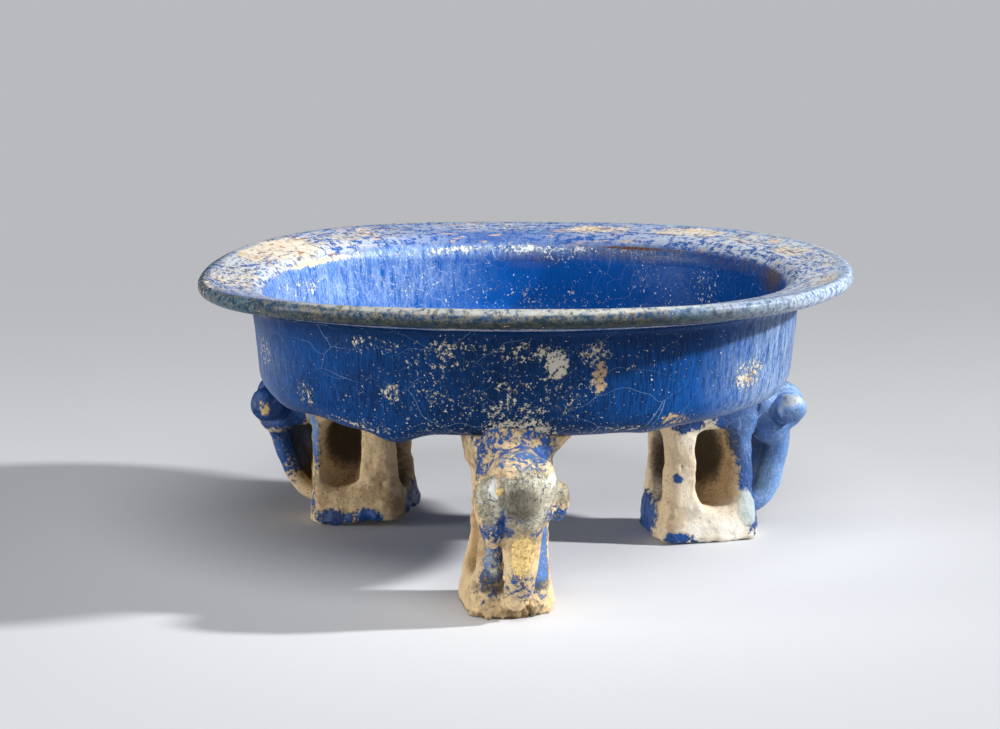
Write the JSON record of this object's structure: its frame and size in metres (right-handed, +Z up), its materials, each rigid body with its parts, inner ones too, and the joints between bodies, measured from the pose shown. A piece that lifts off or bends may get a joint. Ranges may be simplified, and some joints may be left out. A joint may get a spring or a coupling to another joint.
{
  "type": "footed bowl",
  "caption": "Shallow round bowl with a wide ledge rim, in blue-glazed stonepaste, raised on feet shaped as small standing elephants.",
  "frame": {"origin": "on the bowl's axis, in the plane that the three feet stand on", "axes": "+Z up along the bowl's axis, -Y towards the front foot's side, +X towards the right foot's side"},
  "size_m": [0.22, 0.22, 0.0985],
  "materials": {
    "cobalt_glaze": "glossy cobalt-blue alkaline glaze, streaked, crazed and flecked with wear",
    "worn_glaze": "cobalt-blue glaze weathered to grey and silver, worn through to pale paste",
    "gilded_glaze": "worn blue-grey glaze with a patch of gilding",
    "bare_paste": "unglazed buff stonepaste, sandy and pitted, with drips of blue glaze at the edges"
  },
  "bodies": {
    "root": {"bowl_basin": "cobalt_glaze", "ledge_rim": "cobalt_glaze", "front_foot_block": "bare_paste", "front_foot_head": "worn_glaze", "front_foot_left_ear": "worn_glaze", "front_foot_right_ear": "worn_glaze", "front_foot_trunk": "gilded_glaze", "front_foot_luting_roll": "worn_glaze", "right_foot_block": "bare_paste", "right_foot_head": "worn_glaze", "right_foot_left_ear": "worn_glaze", "right_foot_right_ear": "worn_glaze", "right_foot_trunk": "worn_glaze", "right_foot_luting_roll": "worn_glaze", "left_foot_block": "bare_paste", "left_foot_head": "worn_glaze", "left_foot_left_ear": "worn_glaze", "left_foot_right_ear": "worn_glaze", "left_foot_trunk": "worn_glaze", "left_foot_luting_roll": "worn_glaze"}
  },
  "joints": []
}
